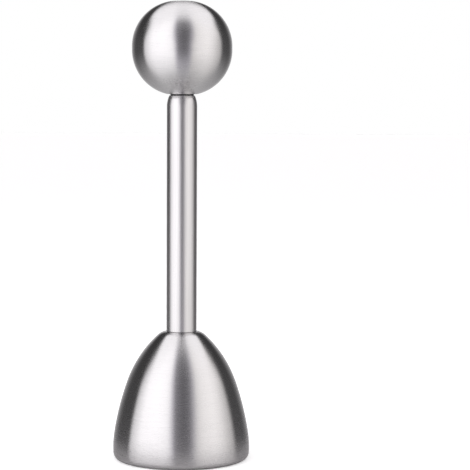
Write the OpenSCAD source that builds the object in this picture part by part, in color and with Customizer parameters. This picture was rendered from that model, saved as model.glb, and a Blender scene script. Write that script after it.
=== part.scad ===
// Egg topper: a bell that sits on the egg, a handle tube on the bell, and a ball
// on a sprung rod. Pulling the ball up squeezes the spring, and letting it go
// drives the striker on the rod's lower end onto the anvil plug over the bell.
// Millimetres. +Z is up, and the origin is the middle of the rim's resting plane.

/* [Bell] */
// Widest diameter of the bell
bell_d = 41; // [38:0.5:44]
// Height of the bell, from the table to the seat of the tube
bell_h = 38.5; // [36:0.1:42]
// Sheet thickness of the bell
bell_wall = 1.2; // [0.8:0.1:1.6]
// Height of the widest point above the table
hip_z = 3.6; // [3:0.1:5]
// Outline radius round the widest point
hip_r = 29; // [25:1:40]
// Angle above level at which the outline passes from the hip to the belly
hip_angle = 8.7; // [7:0.1:11]
// Outline radius of the long side wall
belly_r = 84; // [72:1:100]
// Outline radius of the shoulder
shoulder_r = 35; // [33:0.5:42]
// Diameter at which the shoulder would run into the level seat of the tube
crown_d = 11.6; // [11:0.1:12.5]
// Rounding between the shoulder and the seat of the tube
crown_edge_r = 4.2; // [3:0.1:5]

/* [Rim] */
// Outer radius of the bend from the wall into the lip
rim_bend_r = 1.9; // [1.7:0.1:2.6]
// Diameter of the cutting edge, where the shell cracks
edge_d = 32.5; // [30:0.5:34]
// Height of the upright land behind the cutting edge
edge_land = 0.6; // [0.3:0.1:0.7]

/* [Handle tube] */
// Outside diameter of the handle tube
tube_d = 9; // [8.6:0.1:9.4]
// Wall of the handle tube
tube_wall = 0.8; // [0.6:0.1:0.9]
// Length of the handle tube
tube_len = 70.6; // [66:0.1:90]
// Radius of the swaged upper end, seen from the side
tube_swage_r = 8; // [4:0.5:10]
// Diameter of the level face at the upper end
tube_face_d = 7.6; // [6.8:0.1:7.8]
// Thickness of the closed upper end
tube_end_wall = 1; // [0.8:0.1:1.4]

/* [Bumper washer] */
// Thickness of the rubber washer that lies between the tube and the ball
bumper_t = 0.4; // [0.3:0.1:0.8]
// Outside diameter of that washer
bumper_d = 7; // [6:0.1:7.2]

/* [Ball] */
// Diameter of the ball round its middle
ball_d = 29.8; // [26:0.1:36]
// Height that the ball would have without the flat under it
ball_h = 27.9; // [25.5:0.1:29.5]
// Height of the straight belt round the ball's weld
ball_belt = 1; // [0.2:0.1:2]
// Sheet thickness of the ball's two halves
ball_wall = 1.2; // [0.8:0.1:1.6]
// Diameter of the flat under the ball, which rests on the bumper washer
ball_flat_d = 8.8; // [8.6:0.1:14]

/* [Threaded boss in the ball] */
// Diameter of the boss where it fills the hole in the ball
boss_d = 8; // [7:0.5:8]
// Diameter of the boss's shoulder inside the ball
boss_shoulder_d = 12; // [10:0.5:14]
// Height of the shoulder
boss_shoulder_h = 3; // [2:0.5:5]
// Height of the whole boss
boss_h = 12.5; // [12:0.5:16]

/* [Plunger] */
// Diameter of the pull rod
rod_d = 4; // [3.6:0.1:4.2]
// Length of thread that holds the rod in the ball and in the striker
rod_grip = 10; // [7:0.5:11]
// Length of the striker
striker_len = 18; // [14:0.5:20]
// Depth of the cone on the striker's nose
striker_cone = 1; // [0.4:0.1:1.5]
// How far the ball can be pulled up
stroke = 20; // [12:0.5:21]

/* [Bearings and seats] */
// Length of the guide bush below the swaged end
bush_len = 7.5; // [5:0.5:9]
// Thickness of the two washers that the spring bears on
seat_washer_t = 0.5; // [0.3:0.1:0.8]
// Length of the anvil plug in the foot of the tube
plug_len = 10; // [10:0.5:14]

/* [Spring] */
// Wire of the return spring
spring_wire = 0.65; // [0.5:0.05:0.7]
// Middle diameter of the spring's coils
spring_d = 6; // [5.6:0.1:6.2]
// Gap left between the turns that are closed at each end
closed_turn_gap = 0.07; // [0.03:0.01:0.2]

/* [Bell screw] */
// Thread diameter of the screw
screw_d = 4; // [3:0.5:4]
// Length of the screw under its head
screw_len = 10; // [8:0.5:10]
// Diameter of the screw's pan head
screw_head_d = 8; // [7:0.5:8.6]
// Height of the pan head
screw_head_h = 2.7; // [2.2:0.1:3.2]
// Rounding of the pan head's edge
screw_head_round = 1.6; // [1:0.1:1.7]
// Width of each slot of the cross recess
recess_w = 1; // [0.8:0.1:1.4]
// Length of each slot of the cross recess
recess_len = 4.4; // [3.6:0.1:5]
// Depth of the cross recess
recess_depth = 1.7; // [1:0.1:1.9]
// Diameter of the plain washer
washer_d = 9; // [8.6:0.1:9]
// Thickness of the plain washer
washer_t = 0.8; // [0.5:0.1:1]
// Outside diameter of the split lock washer
lock_washer_d = 7.6; // [7:0.1:8]
// Thickness of the split lock washer
lock_washer_t = 0.9; // [0.7:0.1:1.2]
// Opening of the split, as an angle
lock_washer_split = 14; // [8:1:24]
// Depth that the plug is tapped beyond the screw's end
tap_runout = 0.5; // [0.2:0.1:1]

/* [Clearances] */
// Radial play of the rod in its bush
rod_play = 0.05; // [0.03:0.01:0.1]
// Radial play of the striker in the tube
striker_play = 0.1; // [0.05:0.01:0.15]
// Radial gap drawn where two pieces are pressed, welded or screwed together
fixed_fit = 0.02; // [0.01:0.01:0.05]
// Radial gap of the washers and of the hole in the bell round what runs through them
loose_fit = 0.2; // [0.1:0.05:0.25]

/* [Hidden] */
$fn = 96;

// Colours of the pieces
brushed_steel = [0.74, 0.73, 0.72];
turned_steel = [0.62, 0.62, 0.63];
bright_steel = [0.80, 0.80, 0.81];
spring_steel = [0.55, 0.56, 0.58];
nylon = [0.92, 0.91, 0.87];
black_rubber = [0.05, 0.05, 0.05];

// A little over any cut, so that no skin is left
over = 1;
// How far the straight steps of a drawn arc may fall inside the true curve
arc_slack = 0.01;

// --- Places along the axis ---
plug_top = bell_h + plug_len;
striker_top = plug_top + striker_len;
tube_top = bell_h + tube_len;
tube_bore = tube_d / 2 - tube_wall;
swage_rise = sqrt(pow(tube_swage_r, 2) - pow(tube_swage_r - (tube_d - tube_face_d) / 2, 2));
swage_z = tube_top - swage_rise;
bush_z = swage_z - bush_len;
spring_z = striker_top + seat_washer_t;
spring_len = bush_z - seat_washer_t - spring_z;
ball_flat_z = tube_top + bumper_t;
ball_arc_r = (ball_h - ball_belt) / 2;
ball_arc_x = ball_d / 2 - ball_arc_r;
ball_flat_drop = ball_belt / 2 + sqrt(pow(ball_arc_r, 2) - pow(ball_flat_d / 2 - ball_arc_x, 2));
ball_z = ball_flat_z + ball_flat_drop;
screw_seat_z = bell_h - bell_wall - washer_t - lock_washer_t;

// --- The bell's outline: arcs that run into each other without a corner ---
// Centre of a circle of radius r that goes through p and touches a circle of
// radius big_r round big_c from inside, on the lower side of p.
function touching_centre(big_c, big_r, p, r) =
    let (
        reach = norm(p - big_c),
        gap = big_r - r,
        turn = acos((reach * reach + gap * gap - r * r) / (2 * reach * gap)),
        way = atan2(p.y - big_c.y, p.x - big_c.x) - turn
    )
    big_c + gap * [cos(way), sin(way)];

// Centre, at height z, of a circle of radius r that touches that big circle from inside
function nested_centre(big_c, big_r, z, r) =
    [big_c.x + sqrt(pow(big_r - r, 2) - pow(z - big_c.y, 2)), z];

// Angle of the line from one centre to the next, where the two arcs meet
function meeting_angle(from, to) = atan2(to.y - from.y, to.x - from.x);

// Points along an arc, from one angle to another, with the first one left out
function arc(c, r, from, to) =
    let (steps = ceil((to - from) / (2 * acos(1 - arc_slack / r))))
    [for (i = [1 : steps]) c + r * turned(from + (to - from) * i / steps)];

// Unit vector at an angle above level
function turned(angle) = [cos(angle), sin(angle)];

hip_c = [bell_d / 2 - hip_r, hip_z];
belly_c = hip_c + (hip_r - belly_r) * turned(hip_angle);
shoulder_c = touching_centre(belly_c, belly_r, [crown_d / 2, bell_h], shoulder_r);
crown_c = nested_centre(shoulder_c, shoulder_r, bell_h - crown_edge_r, crown_edge_r);
rim_c = nested_centre(hip_c, hip_r, rim_bend_r, rim_bend_r);
rim_angle = meeting_angle(hip_c, rim_c);
belly_angle = meeting_angle(belly_c, shoulder_c);
crown_angle = meeting_angle(shoulder_c, crown_c);
// Angle at which the inside of the shoulder reaches the underside of the crown
ceiling_angle = asin((bell_h - bell_wall - shoulder_c.y) / (shoulder_r - bell_wall));

// The side wall from the rim's bend up to an angle on the shoulder, inset from the outer skin
function bell_side(inset, top_angle) = concat(
    [rim_c - [0, rim_bend_r - inset]],
    arc(rim_c, rim_bend_r - inset, -90, rim_angle),
    arc(hip_c, hip_r - inset, rim_angle, hip_angle),
    arc(belly_c, belly_r - inset, hip_angle, belly_angle),
    arc(shoulder_c, shoulder_r - inset, belly_angle, top_angle)
);

function backwards(points) = [for (i = [len(points) - 1 : -1 : 0]) points[i]];

// What lies between the axis and an arc, from height z0 to z1
module under_arc(c, r, z0, z1) {
    intersection() {
        union() {
            translate(c) circle(r);
            if (c.x > 0) translate([0, z0]) square([c.x, z1 - z0]);
        }
        translate([0, z0]) square([bell_d, z1 - z0]);
    }
}

// Ring between two radii
module ring(r_in, r_out, z, h) {
    translate([0, 0, z]) difference() {
        cylinder(r = r_out, h = h);
        translate([0, 0, -over]) cylinder(r = r_in, h = h + 2 * over);
    }
}

// Plain cylinder standing at height z
module bar(r, z, h) {
    translate([0, 0, z]) cylinder(r = r, h = h);
}

// --- The bell and what fastens it ---
// Up the outside, over the crown, down the screw's hole and the inside, and out over
// the lip, whose hole is an upright land above the cutting edge and then a bevel
module bell() {
    hole_r = screw_d / 2 + loose_fit;
    edge_r = edge_d / 2;
    color(brushed_steel) rotate_extrude() polygon(concat(
        bell_side(0, crown_angle),
        arc(crown_c, crown_edge_r, crown_angle, 90),
        [[hole_r, bell_h], [hole_r, bell_h - bell_wall]],
        backwards(bell_side(bell_wall, ceiling_angle)),
        [[edge_r + bell_wall - edge_land, bell_wall], [edge_r, edge_land], [edge_r, 0]]
    ));
}

module bell_washer() {
    color(bright_steel)
        ring(screw_d / 2 + loose_fit, washer_d / 2, bell_h - bell_wall - washer_t, washer_t);
}

module bell_lock_washer() {
    r_in = screw_d / 2 + loose_fit;
    color(spring_steel) translate([0, 0, screw_seat_z])
        rotate_extrude(angle = 360 - lock_washer_split)
            translate([r_in, 0]) square([lock_washer_d / 2 - r_in, lock_washer_t]);
}

// Pan head below, shank up through the bell into the anvil plug
module bell_screw() {
    head_r = screw_head_d / 2;
    head_z = screw_seat_z - screw_head_h;
    round_c = [head_r - screw_head_round, screw_head_round];
    color(bright_steel) difference() {
        translate([0, 0, head_z]) rotate_extrude() {
            under_arc(round_c, screw_head_round, 0, screw_head_round);
            translate([0, screw_head_round]) square([head_r, screw_head_h - screw_head_round]);
            square([screw_d / 2 - fixed_fit, screw_head_h + screw_len]);
        }
        for (turn = [0, 90]) rotate(turn)
            translate([-recess_len / 2, -recess_w / 2, head_z - over])
                cube([recess_len, recess_w, recess_depth + over]);
    }
}

// Pressed into the foot of the tube: tapped for the screw, struck from above
module anvil_plug() {
    tapped = screw_seat_z + screw_len + tap_runout - bell_h;
    color(turned_steel) difference() {
        bar(tube_bore - fixed_fit, bell_h, plug_len);
        bar(screw_d / 2, bell_h - over, tapped + over);
    }
}

// --- The handle tube and what it holds still ---
// Up the outside, over the swage and the level face, down the rod's hole and the inside
module handle_tube() {
    swage_c = [tube_d / 2 - tube_swage_r, swage_z];
    inner_r = tube_swage_r - tube_wall;
    face_z = tube_top - tube_end_wall;
    hole_r = rod_d / 2 + loose_fit;
    color(brushed_steel) rotate_extrude() polygon(concat(
        [[tube_bore, bell_h], [tube_d / 2, bell_h], [tube_d / 2, swage_z]],
        arc(swage_c, tube_swage_r, 0, asin(swage_rise / tube_swage_r)),
        [[hole_r, tube_top], [hole_r, face_z]],
        backwards(arc(swage_c, inner_r, 0, asin((face_z - swage_z) / inner_r))),
        [[tube_bore, swage_z]]
    ));
}

// Bearing for the rod, with a nose that reaches the closed end of the tube
module guide_bush() {
    nose_r = tube_face_d / 2 - tube_wall;
    nose_h = swage_rise - tube_end_wall;
    color(nylon) difference() {
        union() {
            bar(tube_bore - fixed_fit, bush_z, bush_len);
            bar(nose_r, bush_z, bush_len + nose_h);
        }
        bar(rod_d / 2 + rod_play, bush_z - over, bush_len + nose_h + 2 * over);
    }
}

// Lies on the tube's end, round the rod, and softens the ball's landing
module bumper_washer() {
    color(black_rubber) ring(rod_d / 2 + loose_fit, bumper_d / 2, tube_top, bumper_t);
}

module spring_washer(z) {
    ring(rod_d / 2 + loose_fit, tube_bore - loose_fit, z, seat_washer_t);
}

module upper_spring_washer() {
    color(bright_steel) spring_washer(bush_z - seat_washer_t);
}

module lower_spring_washer() {
    color(bright_steel) spring_washer(striker_top);
}

// --- The spring: one turn closed at each end, the rest evenly pitched ---
// As many turns as leave the stroke free, less one turn in reserve
spring_turns = floor((spring_len - stroke) / spring_wire) - 1;
spring_steps = 16;
spring_sides = 6;
closed_pitch = spring_wire + closed_turn_gap;
open_pitch = (spring_len - spring_wire - 2 * closed_pitch) / (spring_turns - 2);

// Height of the wire's middle after a number of turns
function wire_z(turns) =
    turns < 1 ? closed_pitch * turns
    : turns > spring_turns - 1 ? spring_len - spring_wire - closed_pitch * (spring_turns - turns)
    : closed_pitch + open_pitch * (turns - 1);

// One ring of points round the wire
function wire_ring(turns) = [
    for (side = [0 : spring_sides - 1])
        let (
            a = 360 * side / spring_sides,
            r = spring_d / 2 + spring_wire / 2 * sin(a)
        )
        [
            r * cos(360 * turns),
            r * sin(360 * turns),
            spring_z + spring_wire / 2 + wire_z(turns) + spring_wire / 2 * cos(a)
        ]
];

module return_spring() {
    rings = spring_turns * spring_steps;
    points = [for (i = [0 : rings]) each wire_ring(i / spring_steps)];
    low_end = [for (side = [0 : spring_sides - 1]) side];
    high_end = [for (side = [spring_sides - 1 : -1 : 0]) rings * spring_sides + side];
    skin = [
        for (i = [0 : rings - 1], side = [0 : spring_sides - 1])
            let (
                next = (side + 1) % spring_sides,
                here = i * spring_sides,
                there = here + spring_sides
            )
            each [
                [here + side, there + side, there + next],
                [here + side, there + next, here + next]
            ]
    ];
    color(spring_steel) polyhedron(points, concat([low_end], skin, [high_end]));
}

// --- The plunger: striker, rod and ball move as one ---
module striker() {
    r = tube_bore - striker_play;
    color(turned_steel) difference() {
        union() {
            translate([0, 0, plug_top]) cylinder(r1 = r - striker_cone, r2 = r, h = striker_cone);
            bar(r, plug_top + striker_cone, striker_len - striker_cone);
        }
        bar(rod_d / 2, striker_top - rod_grip, rod_grip + over);
    }
}

module pull_rod() {
    low = striker_top - rod_grip;
    color(bright_steel) bar(rod_d / 2 - fixed_fit, low, ball_flat_z + rod_grip - low);
}

// The ball as a filled half outline, inset from its skin
module ball_side(inset) {
    arc_r = ball_arc_r - inset;
    for (side = [0, 1]) mirror([0, side])
        translate([0, ball_belt / 2]) under_arc([ball_arc_x, 0], arc_r, 0, arc_r);
    translate([0, -ball_belt / 2]) square([ball_arc_x + arc_r, ball_belt]);
}

// The sheet of the ball between two heights, counted from its middle
module ball_sheet(z0, z1) {
    translate([0, 0, ball_z]) rotate_extrude() intersection() {
        difference() {
            ball_side(0);
            ball_side(ball_wall);
        }
        translate([0, z0]) square([ball_d, z1 - z0]);
    }
}

module ball_upper_shell() {
    color(brushed_steel) ball_sheet(0, ball_h);
}

module ball_lower_shell() {
    color(brushed_steel) difference() {
        ball_sheet(-ball_flat_drop, 0);
        bar(boss_d / 2 + fixed_fit, ball_flat_z - over, ball_flat_drop);
    }
}

// Height at which the boss's shoulder meets the inside of the ball
function inside_ball_z(r) =
    ball_z - ball_belt / 2 - sqrt(pow(ball_arc_r - ball_wall, 2) - pow(r - ball_arc_x, 2));

module ball_threaded_boss() {
    shoulder_z = inside_ball_z(boss_shoulder_d / 2) + fixed_fit;
    color(turned_steel) difference() {
        union() {
            bar(boss_d / 2, ball_flat_z, boss_h);
            bar(boss_shoulder_d / 2, shoulder_z, boss_shoulder_h);
        }
        bar(rod_d / 2, ball_flat_z - over, rod_grip + over);
    }
}

bell();
bell_washer();
bell_lock_washer();
bell_screw();
anvil_plug();
handle_tube();
guide_bush();
bumper_washer();
upper_spring_washer();
return_spring();
lower_spring_washer();
striker();
pull_rod();
ball_threaded_boss();
ball_lower_shell();
ball_upper_shell();
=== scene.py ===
"""Egg topper: the visible surfaces, the studio and the camera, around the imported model.

Lengths are in millimetres until mesh() turns them into Blender's metres. Every piece is
drawn from the same measures as the CAD solid that it stands for.
"""
import math

import bmesh
import bpy
from mathutils import Matrix, Vector


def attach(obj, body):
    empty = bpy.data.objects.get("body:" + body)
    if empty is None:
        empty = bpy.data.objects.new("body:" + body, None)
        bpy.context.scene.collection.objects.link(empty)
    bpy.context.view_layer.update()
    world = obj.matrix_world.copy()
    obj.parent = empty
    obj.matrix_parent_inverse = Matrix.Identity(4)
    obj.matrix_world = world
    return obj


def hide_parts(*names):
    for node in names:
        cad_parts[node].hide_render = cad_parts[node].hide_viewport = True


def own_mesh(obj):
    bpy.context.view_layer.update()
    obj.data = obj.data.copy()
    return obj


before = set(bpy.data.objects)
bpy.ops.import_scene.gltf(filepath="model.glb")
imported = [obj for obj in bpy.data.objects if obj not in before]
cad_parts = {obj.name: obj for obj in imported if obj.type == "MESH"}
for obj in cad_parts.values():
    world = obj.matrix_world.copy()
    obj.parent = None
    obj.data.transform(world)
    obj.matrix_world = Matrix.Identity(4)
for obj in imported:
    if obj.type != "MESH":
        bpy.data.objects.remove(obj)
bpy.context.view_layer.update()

MM = 0.001

# --- Measures of the part, in millimetres ---
BELL_D, BELL_H, BELL_WALL = 41.0, 38.5, 1.2
HIP_Z, HIP_R, HIP_ANGLE = 3.6, 29.0, 8.7
BELLY_R, SHOULDER_R = 84.0, 35.0
CROWN_D, CROWN_EDGE_R = 11.6, 4.2
RIM_BEND_R, EDGE_D, EDGE_LAND = 1.9, 32.5, 0.6

TUBE_D, TUBE_WALL, TUBE_LEN = 9.0, 0.8, 70.6
SWAGE_R, TUBE_FACE_D, TUBE_END_WALL = 8.0, 7.6, 1.0
BUMPER_D, BUMPER_T = 7.0, 0.4

BALL_D, BALL_H, BALL_BELT, BALL_WALL, BALL_FLAT_D = 29.8, 27.9, 1.0, 1.2, 8.8
BOSS_D, BOSS_SHOULDER_D, BOSS_SHOULDER_H, BOSS_H = 8.0, 12.0, 3.0, 12.5

ROD_D, ROD_GRIP = 4.0, 10.0
STRIKER_LEN, STRIKER_CONE, STROKE = 18.0, 1.0, 20.0
BUSH_LEN, SEAT_WASHER_T, PLUG_LEN = 7.5, 0.5, 10.0
SPRING_WIRE, SPRING_D, CLOSED_TURN_GAP = 0.65, 6.0, 0.07

SCREW_D, SCREW_LEN = 4.0, 10.0
SCREW_HEAD_D, SCREW_HEAD_H, SCREW_HEAD_ROUND = 8.0, 2.7, 1.6
RECESS_W, RECESS_LEN, RECESS_DEPTH = 1.0, 4.4, 1.7
# The recess narrows to this share of its width, and its floor is this much deeper inside
RECESS_TAPER, RECESS_TIP = 0.62, 0.25
WASHER_D, WASHER_T = 9.0, 0.8
LOCK_WASHER_D, LOCK_WASHER_T, LOCK_WASHER_SPLIT = 7.6, 0.9, 14.0
TAP_RUNOUT = 0.5

ROD_PLAY, STRIKER_PLAY, FIXED_FIT, LOOSE_FIT = 0.05, 0.1, 0.02, 0.2

# --- Places along the axis ---
PLUG_TOP = BELL_H + PLUG_LEN
STRIKER_TOP = PLUG_TOP + STRIKER_LEN
TUBE_TOP = BELL_H + TUBE_LEN
TUBE_BORE = TUBE_D / 2 - TUBE_WALL
SWAGE_RISE = math.sqrt(SWAGE_R**2 - (SWAGE_R - (TUBE_D - TUBE_FACE_D) / 2) ** 2)
SWAGE_Z = TUBE_TOP - SWAGE_RISE
BUSH_Z = SWAGE_Z - BUSH_LEN
SPRING_Z = STRIKER_TOP + SEAT_WASHER_T
SPRING_TOP = BUSH_Z - SEAT_WASHER_T
SPRING_LEN = SPRING_TOP - SPRING_Z
BALL_FLAT_Z = TUBE_TOP + BUMPER_T
BALL_ARC_R = (BALL_H - BALL_BELT) / 2
BALL_ARC_X = BALL_D / 2 - BALL_ARC_R
BALL_FLAT_DROP = BALL_BELT / 2 + math.sqrt(
    BALL_ARC_R**2 - (BALL_FLAT_D / 2 - BALL_ARC_X) ** 2
)
BALL_Z = BALL_FLAT_Z + BALL_FLAT_DROP
SCREW_SEAT_Z = BELL_H - BELL_WALL - WASHER_T - LOCK_WASHER_T
SCREW_HEAD_Z = SCREW_SEAT_Z - SCREW_HEAD_H


# --- Outlines: points (radius, height), with a third number where a corner is rounded ---

# The largest share of a side that one corner's rounding may take
MOST_OF_SIDE = 0.45


def arc(c, r, start, end, step=0.5):
    """Points along an arc between two angles in degrees, both ends included."""
    turn = math.radians(end - start)
    steps = max(3, math.ceil(abs(turn) * r / step), math.ceil(abs(end - start) / 5))
    angles = (math.radians(start) + turn * i / steps for i in range(steps + 1))
    return [(c[0] + r * math.cos(a), c[1] + r * math.sin(a)) for a in angles]


def box_outline(r_in, r_out, z0, z1, edge):
    """A rectangular section with rounded corners."""
    inner = 0 if r_in == 0 else edge
    return [(r_in, z0, inner), (r_out, z0, edge), (r_out, z1, edge), (r_in, z1, inner)]


def rounded(points, steps=5):
    """The closed outline with its marked corners turned into short arcs."""
    out = []
    for i, point in enumerate(points):
        corner = Vector(point[:2])
        size = point[2] if len(point) > 2 else 0
        to_last = Vector(points[i - 1][:2]) - corner
        to_next = Vector(points[(i + 1) % len(points)][:2]) - corner
        half = to_last.angle(to_next) / 2
        reach = min(size / math.tan(half), MOST_OF_SIDE * to_last.length,
                    MOST_OF_SIDE * to_next.length)
        if reach < 1e-4:
            out.append(tuple(corner))
            continue
        radius = reach * math.tan(half)
        way = (to_last.normalized() + to_next.normalized()).normalized()
        centre = corner + way * (radius / math.sin(half))
        first = corner + to_last.normalized() * reach - centre
        last = corner + to_next.normalized() * reach - centre
        turn = first.angle_signed(last)
        for k in range(steps + 1):
            v = first.copy()
            v.rotate(Matrix.Rotation(-turn * k / steps, 2))
            out.append(tuple(centre + v))
    return out


# --- Meshes ---
SHARP = math.radians(32)


def mesh(name, verts, faces, across):
    """A smooth-shaded object in metres. across holds, for each vertex, its distance in
    millimetres across the lines that the finish leaves."""
    data = bpy.data.meshes.new(name)
    data.from_pydata([Vector(v) * MM for v in verts], [], faces)
    attribute = data.attributes.new("across", "FLOAT", "POINT")
    attribute.data.foreach_set("value", across)
    tidy_shading(data)
    obj = bpy.data.objects.new(name, data)
    bpy.context.scene.collection.objects.link(obj)
    return obj


def tidy_shading(data):
    """Faces outwards, smooth, with real corners kept sharp."""
    bm = bmesh.new()
    bm.from_mesh(data)
    bmesh.ops.recalc_face_normals(bm, faces=bm.faces)
    for face in bm.faces:
        face.smooth = True
    for edge in bm.edges:
        edge.smooth = len(edge.link_faces) == 2 and edge.calc_face_angle() < SHARP
    bm.to_mesh(data)
    bm.free()


def lathe(name, outline, sides=160, turn=360.0):
    """The closed outline turned about the Z axis, all the way round or part of it."""
    outline = rounded(outline)
    whole = turn >= 360
    columns = sides if whole else max(3, round(sides * turn / 360)) + 1
    verts, across, rings, length = [], [], [], 0.0
    for i, (r, z) in enumerate(outline):
        if i:
            length += math.dist(outline[i - 1], (r, z))
        start = len(verts)
        if r < 1e-6:
            verts.append((0, 0, z))
            rings.append([start] * columns)
        else:
            for k in range(columns):
                a = math.radians(turn) * k / (columns if whole else columns - 1)
                verts.append((r * math.cos(a), r * math.sin(a), z))
            rings.append(list(range(start, start + columns)))
        across.extend([length] * (len(verts) - start))
    faces = []
    for ring, after in zip(rings, rings[1:] + rings[:1]):
        if ring[0] == ring[1] and after[0] == after[1]:
            continue
        for k in range(columns if whole else columns - 1):
            k2 = (k + 1) % columns
            face = [ring[k], ring[k2], after[k2], after[k]]
            faces.append([v for n, v in enumerate(face) if v not in face[:n]])
    if not whole:
        faces += [[ring[0] for ring in rings], [ring[-1] for ring in reversed(rings)]]
    return mesh(name, verts, faces, across)


# --- The bell's arcs run into each other without a corner ---
def polar(c, r, angle):
    turn = math.radians(angle)
    return (c[0] + r * math.cos(turn), c[1] + r * math.sin(turn))


def touching_centre(big_c, big_r, p, r):
    """Centre of a circle of radius r through p that touches a big circle from inside."""
    reach, gap = math.dist(p, big_c), big_r - r
    turn = math.acos((reach**2 + gap**2 - r**2) / (2 * reach * gap))
    way = math.atan2(p[1] - big_c[1], p[0] - big_c[0]) - turn
    return polar(big_c, gap, math.degrees(way))


def nested_centre(big_c, big_r, z, r):
    """Centre, at height z, of a circle of radius r that touches a big one from inside."""
    return (big_c[0] + math.sqrt((big_r - r) ** 2 - (z - big_c[1]) ** 2), z)


def meeting_angle(start, end):
    return math.degrees(math.atan2(end[1] - start[1], end[0] - start[0]))


HIP_C = (BELL_D / 2 - HIP_R, HIP_Z)
BELLY_C = polar(HIP_C, HIP_R - BELLY_R, HIP_ANGLE)
SHOULDER_C = touching_centre(BELLY_C, BELLY_R, (CROWN_D / 2, BELL_H), SHOULDER_R)
CROWN_C = nested_centre(SHOULDER_C, SHOULDER_R, BELL_H - CROWN_EDGE_R, CROWN_EDGE_R)
RIM_C = nested_centre(HIP_C, HIP_R, RIM_BEND_R, RIM_BEND_R)
RIM_ANGLE = meeting_angle(HIP_C, RIM_C)
BELLY_ANGLE = meeting_angle(BELLY_C, SHOULDER_C)
CROWN_ANGLE = meeting_angle(SHOULDER_C, CROWN_C)
CEILING_ANGLE = math.degrees(
    math.asin((BELL_H - BELL_WALL - SHOULDER_C[1]) / (SHOULDER_R - BELL_WALL))
)


def bell_side(inset, top_angle):
    """The side wall from the rim's bend up to the shoulder, inset from the outer skin."""
    return (
        arc(RIM_C, RIM_BEND_R - inset, -90, RIM_ANGLE, 0.12)
        + arc(HIP_C, HIP_R - inset, RIM_ANGLE, HIP_ANGLE)[1:]
        + arc(BELLY_C, BELLY_R - inset, HIP_ANGLE, BELLY_ANGLE)[1:]
        + arc(SHOULDER_C, SHOULDER_R - inset, BELLY_ANGLE, top_angle)[1:]
    )


def make_bell():
    hole_r, edge_r = SCREW_D / 2 + LOOSE_FIT, EDGE_D / 2
    return lathe(
        "bell_skin",
        [(edge_r, 0, 0.05)]
        + bell_side(0, CROWN_ANGLE)
        + arc(CROWN_C, CROWN_EDGE_R, CROWN_ANGLE, 90, 0.25)[1:]
        + [(hole_r, BELL_H, 0.12), (hole_r, BELL_H - BELL_WALL, 0.12)]
        + bell_side(BELL_WALL, CEILING_ANGLE)[::-1]
        + [(edge_r + BELL_WALL - EDGE_LAND, BELL_WALL, 0.15), (edge_r, EDGE_LAND, 0.06)],
        sides=224,
    )


# --- What fastens the bell to the tube ---
def make_bell_washer():
    z1 = BELL_H - BELL_WALL
    return lathe(
        "plain_washer",
        box_outline(SCREW_D / 2 + LOOSE_FIT, WASHER_D / 2, z1 - WASHER_T, z1, 0.1),
    )


def make_bell_lock_washer():
    z0, z1 = SCREW_SEAT_Z, SCREW_SEAT_Z + LOCK_WASHER_T
    return lathe(
        "split_lock_washer",
        box_outline(SCREW_D / 2 + LOOSE_FIT, LOCK_WASHER_D / 2, z0, z1, 0.12),
        turn=360 - LOCK_WASHER_SPLIT,
    )


def make_bell_screw():
    """Pan head with a tapered cross recess, and the shank up into the plug."""
    head_r, shank_r = SCREW_HEAD_D / 2, SCREW_D / 2 - FIXED_FIT
    head_z, seat_z = SCREW_HEAD_Z, SCREW_SEAT_Z
    round_c = (head_r - SCREW_HEAD_ROUND, head_z + SCREW_HEAD_ROUND)
    screw = lathe(
        "cross_recess_screw",
        [(0, head_z)]
        + arc(round_c, SCREW_HEAD_ROUND, -90, 0, 0.1)
        + [(head_r, seat_z, 0.1), (shank_r, seat_z, 0.1),
           (shank_r, seat_z + SCREW_LEN, 0.35), (0, seat_z + SCREW_LEN)],
    )
    long, wide, over = RECESS_LEN / 2, RECESS_W / 2, 0.5
    cross = [(long, wide), (wide, wide), (wide, long)]
    cross += [(-y, x) for x, y in cross]
    cross += [(-x, -y) for x, y in cross]
    below, top = head_z - over, head_z + RECESS_DEPTH
    flare = 1 + (1 - RECESS_TAPER) * over / RECESS_DEPTH
    verts = [(x * flare, y * flare, below) for x, y in cross]
    verts += [(x * RECESS_TAPER, y * RECESS_TAPER, top) for x, y in cross]
    verts.append((0, 0, top + RECESS_TIP))
    n = len(cross)
    faces = [[i, (i + 1) % n, (i + 1) % n + n, i + n] for i in range(n)]
    faces += [[i + n, (i + 1) % n + n, 2 * n] for i in range(n)] + [list(range(n))]
    cutter = mesh("recess_cutter", verts, faces, [0.0] * len(verts))
    cut = screw.modifiers.new("recess", "BOOLEAN")
    cut.operation, cut.object, cut.solver = "DIFFERENCE", cutter, "EXACT"
    bpy.context.view_layer.update()
    shape = bpy.data.meshes.new_from_object(
        screw.evaluated_get(bpy.context.evaluated_depsgraph_get())
    )
    screw.modifiers.clear()
    screw.data = shape
    bpy.data.objects.remove(cutter)
    tidy_shading(shape)
    return screw


def make_anvil_plug():
    r, hole_r = TUBE_BORE - FIXED_FIT, SCREW_D / 2
    hole_top = SCREW_SEAT_Z + SCREW_LEN + TAP_RUNOUT
    return lathe(
        "anvil",
        [(hole_r, BELL_H, 0.3), (r, BELL_H, 0.3), (r, PLUG_TOP, 0.4), (0, PLUG_TOP),
         (0, hole_top), (hole_r, hole_top, 0.1)],
    )


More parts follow.
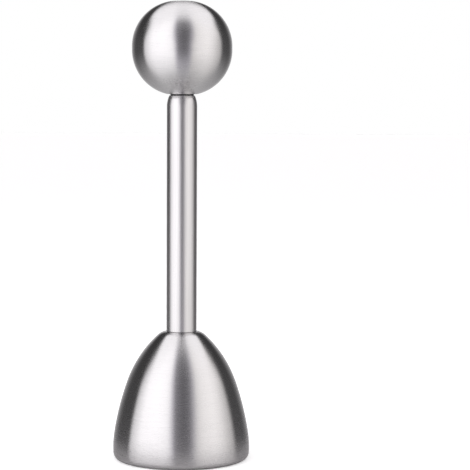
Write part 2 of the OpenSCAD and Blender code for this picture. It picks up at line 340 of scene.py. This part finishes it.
# --- The handle tube and what it holds still ---
def make_handle_tube():
    bore, face_z = TUBE_BORE, TUBE_TOP - TUBE_END_WALL
    swage_c = (TUBE_D / 2 - SWAGE_R, SWAGE_Z)
    outer_end = math.degrees(math.asin(SWAGE_RISE / SWAGE_R))
    inner_end = math.degrees(math.asin((face_z - SWAGE_Z) / (SWAGE_R - TUBE_WALL)))
    outer = arc(swage_c, SWAGE_R, 0, outer_end, 0.25)
    inner = arc(swage_c, SWAGE_R - TUBE_WALL, 0, inner_end, 0.25)
    hole_r = ROD_D / 2 + LOOSE_FIT
    return lathe(
        "tube",
        [(bore, BELL_H, 0.1), (TUBE_D / 2, BELL_H, 0.25)]
        + outer[:-1]
        + [(*outer[-1], 0.08), (hole_r, TUBE_TOP, 0.12), (hole_r, face_z, 0.1)]
        + inner[::-1],
        sides=192,
    )


def make_guide_bush():
    bore, r = ROD_D / 2 + ROD_PLAY, TUBE_BORE - FIXED_FIT
    nose_r, top = TUBE_FACE_D / 2 - TUBE_WALL, SWAGE_Z + SWAGE_RISE - TUBE_END_WALL
    return lathe(
        "bush",
        [(bore, BUSH_Z, 0.15), (r, BUSH_Z, 0.2), (r, SWAGE_Z, 0.2), (nose_r, SWAGE_Z, 0.15),
         (nose_r, top, 0.2), (bore, top, 0.15)],
    )


def make_bumper_washer():
    return lathe(
        "bumper",
        box_outline(ROD_D / 2 + LOOSE_FIT, BUMPER_D / 2, TUBE_TOP, BALL_FLAT_Z, 0.08),
        sides=128,
    )


def make_spring_washer(name, z0):
    z1 = z0 + SEAT_WASHER_T
    return lathe(
        name,
        box_outline(ROD_D / 2 + LOOSE_FIT, TUBE_BORE - LOOSE_FIT, z0, z1, 0.08),
        sides=128,
    )


def make_return_spring():
    """Round wire: one turn closed at each end, the rest evenly pitched."""
    turns = math.floor((SPRING_LEN - STROKE) / SPRING_WIRE) - 1
    closed = SPRING_WIRE + CLOSED_TURN_GAP
    pitch = (SPRING_LEN - SPRING_WIRE - 2 * closed) / (turns - 2)
    round_turn, round_wire, r = 48, 12, SPRING_WIRE / 2

    def wire_z(t):
        if t < 1:
            return closed * t
        if t > turns - 1:
            return SPRING_LEN - SPRING_WIRE - closed * (turns - t)
        return closed + pitch * (t - 1)

    verts, across, faces = [], [], []
    rings = turns * round_turn
    for i in range(rings + 1):
        a = math.tau * i / round_turn
        for side in range(round_wire):
            b = math.tau * side / round_wire
            reach = SPRING_D / 2 + r * math.sin(b)
            z = SPRING_Z + r + wire_z(i / round_turn) + r * math.cos(b)
            verts.append((reach * math.cos(a), reach * math.sin(a), z))
            across.append(b * r)
    for i in range(rings):
        for side in range(round_wire):
            here, after = i * round_wire + side, i * round_wire + (side + 1) % round_wire
            faces.append([here, here + round_wire, after + round_wire, after])
    last = rings * round_wire
    faces += [list(range(round_wire)), [last + k for k in reversed(range(round_wire))]]
    return mesh("spring_coil", verts, faces, across)


# --- The plunger ---
def make_striker():
    r, hole_r = TUBE_BORE - STRIKER_PLAY, ROD_D / 2
    hole_z = STRIKER_TOP - ROD_GRIP
    return lathe(
        "striker_weight",
        [(0, PLUG_TOP), (r - STRIKER_CONE, PLUG_TOP, 0.2),
         (r, PLUG_TOP + STRIKER_CONE, 0.3), (r, STRIKER_TOP, 0.3),
         (hole_r, STRIKER_TOP, 0.25), (hole_r, hole_z, 0.1), (0, hole_z)],
    )


def make_pull_rod():
    r = ROD_D / 2 - FIXED_FIT
    low, high = STRIKER_TOP - ROD_GRIP, BALL_FLAT_Z + ROD_GRIP
    return lathe("rod", [(0, low), (r, low, 0.3), (r, high, 0.3), (0, high)])


def inside_ball_z(r):
    arc_r = BALL_ARC_R - BALL_WALL
    return BALL_Z - BALL_BELT / 2 - math.sqrt(arc_r**2 - (r - BALL_ARC_X) ** 2)


def make_ball_threaded_boss():
    r, wide_r, hole_r = BOSS_D / 2, BOSS_SHOULDER_D / 2, ROD_D / 2
    low, high = BALL_FLAT_Z, BALL_FLAT_Z + BOSS_H
    ledge = inside_ball_z(wide_r) + FIXED_FIT
    hole_top = low + ROD_GRIP
    return lathe(
        "boss",
        [(hole_r, low, 0.15), (r, low, 0.12), (r, ledge, 0.1), (wide_r, ledge, 0.2),
         (wide_r, ledge + BOSS_SHOULDER_H, 0.2), (r, ledge + BOSS_SHOULDER_H, 0.1),
         (r, high, 0.3), (0, high), (0, hole_top), (hole_r, hole_top, 0.1)],
    )


def ball_arc(inset, start, end):
    """The ball's skin between two angles on one side of its belt."""
    belt = math.copysign(BALL_BELT / 2, start + end)
    return arc((BALL_ARC_X, BALL_Z + belt), BALL_ARC_R - inset, start, end, 0.4)


def make_ball_upper_shell():
    wide, high = BALL_D / 2, BALL_Z + BALL_H / 2
    return lathe(
        "ball_upper",
        [(wide, BALL_Z)] + ball_arc(0, 0, 90) + [(0, high), (0, high - BALL_WALL)]
        + ball_arc(BALL_WALL, 90, 0) + [(wide - BALL_WALL, BALL_Z)],
        sides=224,
    )


def make_ball_lower_shell():
    wide, hole_r = BALL_D / 2, BOSS_D / 2 + FIXED_FIT
    outer_end = -math.degrees(math.asin((BALL_FLAT_DROP - BALL_BELT / 2) / BALL_ARC_R))
    inner_r = BALL_ARC_R - BALL_WALL
    inner_end = -math.degrees(math.acos((hole_r - BALL_ARC_X) / inner_r))
    outer = ball_arc(0, outer_end, 0)
    return lathe(
        "ball_lower",
        [(hole_r, BALL_FLAT_Z, 0.08), (*outer[0], 0.05)] + outer[1:]
        + [(wide, BALL_Z), (wide - BALL_WALL, BALL_Z)]
        + ball_arc(BALL_WALL, 0, inner_end),
        sides=224,
    )


# --- Materials ---
def add(tree, kind, inputs=None, **settings):
    """A node, with its settings, and its inputs set to values or linked to sockets."""
    made = tree.nodes.new("ShaderNode" + kind)
    for key, value in settings.items():
        setattr(made, key, value)
    for key, value in (inputs or {}).items():
        if isinstance(value, bpy.types.NodeSocket):
            tree.links.new(value, made.inputs[key])
        else:
            made.inputs[key].default_value = value
    return made


def maths(tree, operation, *values):
    made = add(tree, "Math", dict(enumerate(values)), operation=operation)
    return made.outputs[0]


def mix_colour(tree, share, a, b):
    made = add(tree, "Mix", data_type="RGBA")
    for socket, value in ((0, share), (6, a), (7, b)):
        if isinstance(value, bpy.types.NodeSocket):
            tree.links.new(value, made.inputs[socket])
        else:
            made.inputs[socket].default_value = value
    return made.outputs[2]


def step_down(tree, value, low, high):
    """1 where the value is under low, and softly down to 0 at high."""
    made = add(tree, "MapRange", {"Value": value, "From Min": low, "From Max": high,
                                  "To Min": 1.0, "To Max": 0.0},
               interpolation_type="SMOOTHSTEP")
    return made.outputs[0]


def noise(tree, place, scale, detail, roughness=0.5):
    made = add(tree, "TexNoise", {"Vector": place, "Scale": scale, "Detail": detail,
                                  "Roughness": roughness})
    return made.outputs["Fac"]


def lines(tree, per_mm, along_per_mm, lengthwise, detail=2.0, seed=0.0):
    """Streaks that the finish leaves, round the axis or lengthwise: fine across, long
    along. 0..1."""
    across = add(tree, "Attribute", attribute_name="across").outputs["Fac"]
    place = add(tree, "TexCoord").outputs["Object"]
    split = add(tree, "SeparateXYZ", {0: place}).outputs
    fine, long = per_mm / MM, along_per_mm / MM
    level = fine if lengthwise else long
    upward = (split["Z"], long) if lengthwise else (across, per_mm)
    vector = add(tree, "CombineXYZ", {
        "X": maths(tree, "MULTIPLY_ADD", split["X"], level, seed),
        "Y": maths(tree, "MULTIPLY", split["Y"], level),
        "Z": maths(tree, "MULTIPLY", *upward),
    }).outputs[0]
    return noise(tree, vector, 1.0, detail, roughness=0.6)


def new_material(name):
    material = bpy.data.materials.new(name)
    material.use_nodes = True
    tree = material.node_tree
    return material, tree, tree.nodes["Principled BSDF"]


def show(tree, surface):
    """The surface takes the place of the plain shader."""
    tree.links.new(surface, tree.nodes["Material Output"].inputs["Surface"])


def finish_surface(tree, shader, shade, dark, light, rough_dark, rough_light, height,
                   depth_mm, strength=1.0):
    """Colour and roughness that follow shade, 0..1, and a bump that follows height."""
    colour = mix_colour(tree, shade, (*dark, 1), (*light, 1))
    tree.links.new(colour, shader.inputs["Base Color"])
    rough = add(tree, "MapRange", {"Value": shade, "To Min": rough_dark,
                                   "To Max": rough_light})
    tree.links.new(rough.outputs[0], shader.inputs["Roughness"])
    bump = add(tree, "Bump", {"Height": height, "Distance": depth_mm * MM,
                              "Strength": strength})
    tree.links.new(bump.outputs[0], shader.inputs["Normal"])


# The lines of a steel finish: how much of them is broad, how many of those there are for
# each fine one, across and along, and the band of the noise that makes them
BROAD_SHARE, BROAD_ACROSS, BROAD_ALONG, BROAD_SEED = 0.35, 0.22, 0.6, 37.0
LINES_FROM, LINES_TO = 0.3, 0.7


def metal(name, dark, light, roughness, anisotropic, per_mm, along_per_mm, depth_mm,
          lengthwise=False, play=0.05):
    """Steel with lines: dark and light are its colours between and on the lines, and its
    roughness varies by play."""
    material, tree, shader = new_material(name)
    fine = lines(tree, per_mm, along_per_mm, lengthwise)
    broad = lines(tree, per_mm * BROAD_ACROSS, along_per_mm * BROAD_ALONG, lengthwise,
                  detail=3.0, seed=BROAD_SEED)
    both = add(tree, "Mix", {"Factor": BROAD_SHARE, "A": fine, "B": broad})
    shade = add(tree, "MapRange", {"Value": both.outputs["Result"], "From Min": LINES_FROM,
                                   "From Max": LINES_TO}).outputs[0]
    finish_surface(tree, shader, shade, dark, light, roughness + play, roughness - play,
                   fine, depth_mm)
    shader.inputs["Metallic"].default_value = 1.0
    if anisotropic:
        tangent = add(tree, "Tangent", direction_type="RADIAL", axis="Z")
        tree.links.new(tangent.outputs[0], shader.inputs["Tangent"])
        shader.inputs["Anisotropic"].default_value = anisotropic
        shader.inputs["Anisotropic Rotation"].default_value = 0.0 if lengthwise else 0.25
    return material


MOTTLE_SCALE, GRAIN_SCALE, GRAIN_DEPTH, GRAIN_STRENGTH = 900.0, 6000.0, 0.01, 0.6


def plastic(name, dark, light, smooth, rough):
    """Plastic or rubber, slightly mottled, with a fine grain."""
    material, tree, shader = new_material(name)
    place = add(tree, "TexCoord").outputs["Object"]
    mottle = noise(tree, place, MOTTLE_SCALE, detail=3.0)
    grain = noise(tree, place, GRAIN_SCALE, detail=2.0)
    finish_surface(tree, shader, mottle, dark, light, smooth, rough, grain, GRAIN_DEPTH,
                   GRAIN_STRENGTH)
    return material


MATERIALS = {
    "brushed_steel": metal("brushed_steel", (0.64, 0.63, 0.635), (0.66, 0.65, 0.655),
                           0.26, 0.95, 5.0, 0.2, 0.0001, play=0.035),
    "satin_tube_steel": metal("satin_tube_steel", (0.62, 0.61, 0.615), (0.69, 0.68, 0.685),
                              0.29, 0.2, 3.0, 0.03, 0.0002, lengthwise=True),
    "turned_steel": metal("turned_steel", (0.50, 0.50, 0.51), (0.62, 0.62, 0.63),
                          0.30, 0.6, 6.0, 0.03, 0.002),
    "bright_steel": metal("bright_steel", (0.68, 0.68, 0.69), (0.76, 0.76, 0.77),
                          0.18, 0.3, 5.0, 0.3, 0.0005),
    "spring_steel": metal("spring_steel", (0.42, 0.43, 0.45), (0.55, 0.56, 0.58),
                          0.28, 0.0, 7.0, 0.1, 0.0008),
    "nylon": plastic("nylon", (0.84, 0.82, 0.76), (0.92, 0.91, 0.87), 0.38, 0.5),
    "black_rubber": plastic("black_rubber", (0.015, 0.015, 0.016), (0.035, 0.035, 0.036),
                            0.6, 0.8),
}


# --- The pieces: what each stands for, what it moves with and its finish ---
PIECES = (
    (make_bell(), "bell", "handle", "brushed_steel"),
    (make_bell_washer(), "bell_washer", "handle", "bright_steel"),
    (make_bell_lock_washer(), "bell_lock_washer", "handle", "spring_steel"),
    (make_bell_screw(), "bell_screw", "handle", "bright_steel"),
    (make_anvil_plug(), "anvil_plug", "handle", "turned_steel"),
    (make_handle_tube(), "handle_tube", "handle", "satin_tube_steel"),
    (make_guide_bush(), "guide_bush", "handle", "nylon"),
    (make_bumper_washer(), "bumper_washer", "handle", "black_rubber"),
    (make_spring_washer("spring_seat_upper", SPRING_TOP), "upper_spring_washer",
     "handle", "bright_steel"),
    (make_return_spring(), "return_spring", "handle", "spring_steel"),
    (make_spring_washer("spring_seat_lower", STRIKER_TOP), "lower_spring_washer",
     "spring_follower", "bright_steel"),
    (make_striker(), "striker", "plunger", "turned_steel"),
    (make_pull_rod(), "pull_rod", "plunger", "bright_steel"),
    (make_ball_threaded_boss(), "ball_threaded_boss", "plunger", "turned_steel"),
    (make_ball_lower_shell(), "ball_lower_shell", "plunger", "brushed_steel"),
    (make_ball_upper_shell(), "ball_upper_shell", "plunger", "brushed_steel"),
)
for piece, node, body, finish in PIECES:
    piece.data.materials.append(MATERIALS[finish])
    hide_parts(node)
    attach(piece, body)

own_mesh(bpy.data.objects["spring_coil"])


# --- Studio: a pale floor, soft boxes drawn into the world and one overhead ---
FLOOR_R = 4.0
# The floor's colour in the steel and for the lens, and what lifts the second up to white
FLOOR_COLOUR, FLOOR_SEEN, FLOOR_LIFT = (0.61, 0.60, 0.605), (0.9, 0.9, 0.9), 0.45
# The floor shows in the steel up to FLOOR_NEAR from the axis and fades out by FLOOR_FAR
FLOOR_NEAR, FLOOR_FAR = 22.0, 80.0


def make_floor():
    """A wide pale sweep. What the lens sees is lit up to white, as in a catalogue
    picture. The steel reflects the plain floor close by, and further out the studio."""
    bm = bmesh.new()
    bmesh.ops.create_circle(bm, cap_ends=True, segments=96, radius=FLOOR_R)
    data = bpy.data.meshes.new("floor")
    bm.to_mesh(data)
    bm.free()
    floor = bpy.data.objects.new("floor", data)
    bpy.context.scene.collection.objects.link(floor)
    material, tree, shader = new_material("pale_floor")
    shader.inputs["Base Color"].default_value = (*FLOOR_COLOUR, 1)
    shader.inputs["Roughness"].default_value = 0.35
    pale = add(tree, "BsdfDiffuse", {"Color": (*FLOOR_SEEN, 1)}).outputs[0]
    lift = add(tree, "Emission", {"Color": (1, 1, 1, 1), "Strength": FLOOR_LIFT}).outputs[0]
    seen = add(tree, "AddShader", {0: pale, 1: lift}).outputs[0]
    ray = add(tree, "LightPath").outputs
    upper = add(tree, "MixShader", {0: ray["Is Camera Ray"], 1: shader.outputs[0], 2: seen})
    place = add(tree, "TexCoord").outputs["Object"]
    distance = add(tree, "VectorMath", {0: place}, operation="LENGTH").outputs["Value"]
    far = add(tree, "MapRange", {"Value": distance, "From Min": FLOOR_NEAR * MM,
                                 "From Max": FLOOR_FAR * MM},
              interpolation_type="SMOOTHSTEP").outputs[0]
    mirrored = maths(tree, "MAXIMUM", ray["Is Glossy Ray"], ray["Is Shadow Ray"])
    away = maths(tree, "MULTIPLY", far, mirrored)
    # From below, the floor is clear, and light gets into the bell through its mouth
    back = add(tree, "NewGeometry").outputs["Backfacing"]
    mouth = step_down(tree, distance, (RIM_C[0] - 1) * MM, RIM_C[0] * MM)
    away = maths(tree, "MAXIMUM", away, maths(tree, "MAXIMUM", back, mouth))
    clear = add(tree, "BsdfTransparent").outputs[0]
    show(tree, add(tree, "MixShader", {0: away, 1: upper.outputs[0], 2: clear}).outputs[0])
    data.materials.append(material)


# Round the object, in degrees from the lens to the right: how bright the studio is
# HIGH_AT, level with the object and LOW_AT, and its tint
PLAIN, WARM, COOL = (1, 0.985, 1), (1, 0.975, 0.965), (0.95, 0.92, 1)
AROUND = (
    (-180, 0.06, 0.62, 0.58, PLAIN), (-165, 0.06, 0.48, 0.56, PLAIN),
    (-150, 0.05, 0.22, 0.50, PLAIN), (-135, 0.05, 0.08, 0.45, PLAIN),
    (-101, 0.05, 0.07, 0.45, PLAIN), (-95, 1.12, 1.06, 0.86, PLAIN),
    (-72, 1.60, 1.60, 1.18, PLAIN), (-40, 1.66, 1.66, 1.22, PLAIN),
    (-24, 1.56, 1.56, 1.16, PLAIN), (-18, 1.38, 1.38, 1.00, PLAIN),
    (-14, 0.85, 0.85, 0.84, COOL), (-9, 0.25, 0.25, 0.68, COOL),
    (3, 0.14, 0.14, 0.62, COOL), (12, 0.20, 0.20, 0.60, COOL),
    (18, 0.52, 0.52, 0.64, COOL), (25, 1.04, 1.04, 0.76, WARM),
    (36, 1.26, 1.26, 0.85, WARM), (58, 1.37, 1.36, 0.94, WARM),
    (75, 1.31, 1.13, 0.91, WARM), (88, 1.24, 0.83, 0.78, WARM),
    (98, 1.12, 0.68, 0.62, WARM), (107, 0.08, 0.08, 0.45, PLAIN),
    (135, 0.05, 0.08, 0.45, PLAIN), (150, 0.05, 0.22, 0.50, PLAIN),
    (165, 0.06, 0.48, 0.56, PLAIN), (180, 0.06, 0.62, 0.58, PLAIN),
)
BRIGHTEST = 2.0
OVERHEAD, UNDERFOOT = 1.35, 0.56
# Heights on the sky's sphere, from -1 below to 1 above, between which the brightness turns
HIGH_FROM, HIGH_AT = 0.18, 0.40
LOW_FROM, LOW_AT, UNDERFOOT_AT = -0.05, -0.65, -0.98
# The dark gap round the lens widens upwards
GAP_LEAN = 1.08
# The oval box overhead, cut off in front, in metres above the floor and from the axis
CEILING_Z, CEILING_R, CEILING_FRONT, CEILING_SOFT = 0.44, 0.350, 0.124, 0.05
CEILING_WIDER = 1.15
CEILING_TINT = PLAIN


def azimuth_ramp(tree, share, column):
    ramp = add(tree, "ValToRGB", {"Fac": share})
    stops = ramp.color_ramp.elements
    for row in AROUND[1:-1]:
        stops.new(row[0] / 360 + 0.5)
    for stop, row in zip(stops, AROUND):
        stop.color = [row[column] / BRIGHTEST * tint for tint in row[-1]] + [1]
    return ramp.outputs["Color"]


def grey(level):
    return (*[level / BRIGHTEST] * 3, 1)


def make_world():
    """The boxes left and right, the gap between them and the dark studio behind. The lens
    sees white."""
    world = bpy.data.worlds.new("studio")
    bpy.context.scene.world = world
    world.use_nodes = True
    tree = world.node_tree
    way = add(tree, "SeparateXYZ", {0: add(tree, "TexCoord").outputs["Generated"]}).outputs
    toward = maths(tree, "MULTIPLY", way["Y"], -1.0)
    lean = maths(tree, "MULTIPLY", maths(tree, "MAXIMUM", way["Z"], 0.0), GAP_LEAN)
    leaning = maths(tree, "MULTIPLY_ADD", maths(tree, "MAXIMUM", toward, 0.0), lean, toward)
    angle = maths(tree, "ARCTAN2", way["X"], leaning)
    share = maths(tree, "MULTIPLY_ADD", angle, 1 / math.tau, 0.5)
    high, level, low = (azimuth_ramp(tree, share, column) for column in (1, 2, 3))
    colour = mix_colour(tree, step_down(tree, way["Z"], HIGH_FROM, HIGH_AT), high, level)
    colour = mix_colour(tree, step_down(tree, way["Z"], LOW_AT, LOW_FROM), colour, low)
    under = step_down(tree, way["Z"], UNDERFOOT_AT, LOW_AT)
    colour = mix_colour(tree, under, colour, grey(UNDERFOOT))
    lens = add(tree, "LightPath").outputs["Is Camera Ray"]
    colour = mix_colour(tree, lens, colour, grey(1.0))
    background = tree.nodes["Background"]
    tree.links.new(colour, background.inputs["Color"])
    background.inputs["Strength"].default_value = BRIGHTEST


def make_ceiling():
    """The soft box overhead. It fades out at its edges, and the lens doesn't see it."""
    back, front = CEILING_R + CEILING_SOFT, CEILING_FRONT + CEILING_SOFT
    wide = back * CEILING_WIDER
    data = bpy.data.meshes.new("ceiling")
    data.from_pydata([(-wide, -front, 0), (-wide, back, 0), (wide, back, 0),
                      (wide, -front, 0)], [], [(0, 1, 2, 3)])
    ceiling = bpy.data.objects.new("ceiling", data)
    ceiling.location.z = CEILING_Z
    ceiling.visible_camera = False
    bpy.context.scene.collection.objects.link(ceiling)
    material, tree, shader = new_material("ceiling_light")
    tree.nodes.remove(shader)
    place = add(tree, "TexCoord").outputs["Object"]
    oval = add(tree, "VectorMath", {0: place, 1: (1 / CEILING_WIDER, 1, 1)},
               operation="MULTIPLY").outputs[0]
    reach = add(tree, "VectorMath", {0: oval}, operation="LENGTH").outputs["Value"]
    ahead = maths(tree, "MULTIPLY", add(tree, "SeparateXYZ", {0: place}).outputs["Y"], -1.0)
    inside = step_down(tree, reach, CEILING_R - CEILING_SOFT, CEILING_R + CEILING_SOFT)
    behind = step_down(tree, ahead, CEILING_FRONT - CEILING_SOFT, front)
    share = maths(tree, "MULTIPLY", inside, behind)
    light = add(tree, "Emission", {"Color": (*CEILING_TINT, 1), "Strength": OVERHEAD})
    clear = add(tree, "BsdfTransparent").outputs[0]
    show(tree, add(tree, "MixShader", {0: share, 1: clear, 2: light.outputs[0]}).outputs[0])
    data.materials.append(material)


# --- Camera: where the photograph was taken from ---
CAM_DISTANCE, CAM_HEIGHT = 0.5445, 0.1112
CAM_TILT, CAM_YAW, CAM_ROLL = math.radians(4.587), math.radians(1.678), math.radians(0.280)
FOCAL_PX, FRAME_PX, SENSOR_MM = 1824.0, 470.0, 36.0


def make_camera():
    data = bpy.data.cameras.new("camera")
    data.sensor_width = SENSOR_MM
    data.lens = FOCAL_PX * SENSOR_MM / FRAME_PX
    data.clip_start, data.clip_end = 0.05, 20.0
    camera = bpy.data.objects.new("camera", data)
    bpy.context.scene.collection.objects.link(camera)
    ahead = Vector((math.sin(CAM_YAW) * math.cos(CAM_TILT),
                    math.cos(CAM_YAW) * math.cos(CAM_TILT), -math.sin(CAM_TILT)))
    level = Vector((math.cos(CAM_YAW), -math.sin(CAM_YAW), 0))
    up = level.cross(ahead)
    right = math.cos(CAM_ROLL) * level + math.sin(CAM_ROLL) * up
    up = right.cross(ahead)
    turn = Matrix((right, up, -ahead)).transposed()
    camera.matrix_world = Matrix.Translation((0, -CAM_DISTANCE, CAM_HEIGHT)) @ turn.to_4x4()
    bpy.context.scene.camera = camera


make_floor()
make_world()
make_ceiling()
make_camera()
bpy.context.scene.view_settings.view_transform = "Standard"
